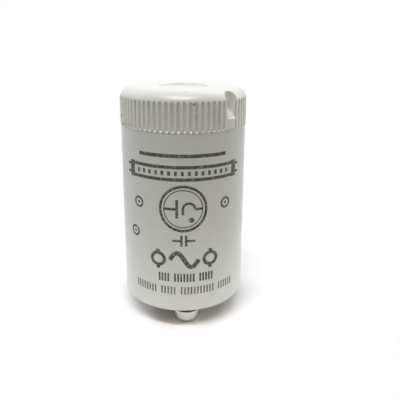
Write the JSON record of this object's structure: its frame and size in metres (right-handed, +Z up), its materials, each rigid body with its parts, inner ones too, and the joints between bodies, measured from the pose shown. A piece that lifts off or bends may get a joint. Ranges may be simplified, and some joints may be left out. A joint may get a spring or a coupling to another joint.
{
  "type": "fluorescent starter",
  "caption": "Cylindrical white plastic glow starter with a grooved grip band, notched top edge and headed contact pins, which starts a fluorescent tube.",
  "frame": {"origin": "middle of the can's axis at the level of the flat ends of the pins, on which it stands", "axes": "+Z up the axis of the can towards its closed top; the two pins lie on the Y axis, the front one towards -Y"},
  "size_m": [0.0216, 0.0216, 0.0397],
  "materials": {
    "can_plastic": "satin moulded white",
    "disc_plastic": "pressed brown phenolic board",
    "pin_metal": "bright headed aluminium",
    "bulb_glass": "clear blown glass",
    "wire_metal": "tinned wire",
    "electrode_metal": "nickel",
    "strip_metal": "rolled two-metal strip",
    "capacitor_coat": "dipped resin coat"
  },
  "bodies": {
    "root": {"can": "can_plastic", "base_disc": "disc_plastic", "contact_pin_front": "pin_metal", "contact_pin_rear": "pin_metal", "glow_bulb_glass": "bulb_glass", "glow_bulb_lead_front": "wire_metal", "glow_bulb_lead_rear": "wire_metal", "fixed_electrode": "electrode_metal", "bimetal_strip": "strip_metal", "capacitor_body": "capacitor_coat", "capacitor_lead_front": "wire_metal", "capacitor_lead_rear": "wire_metal"}
  },
  "joints": []
}
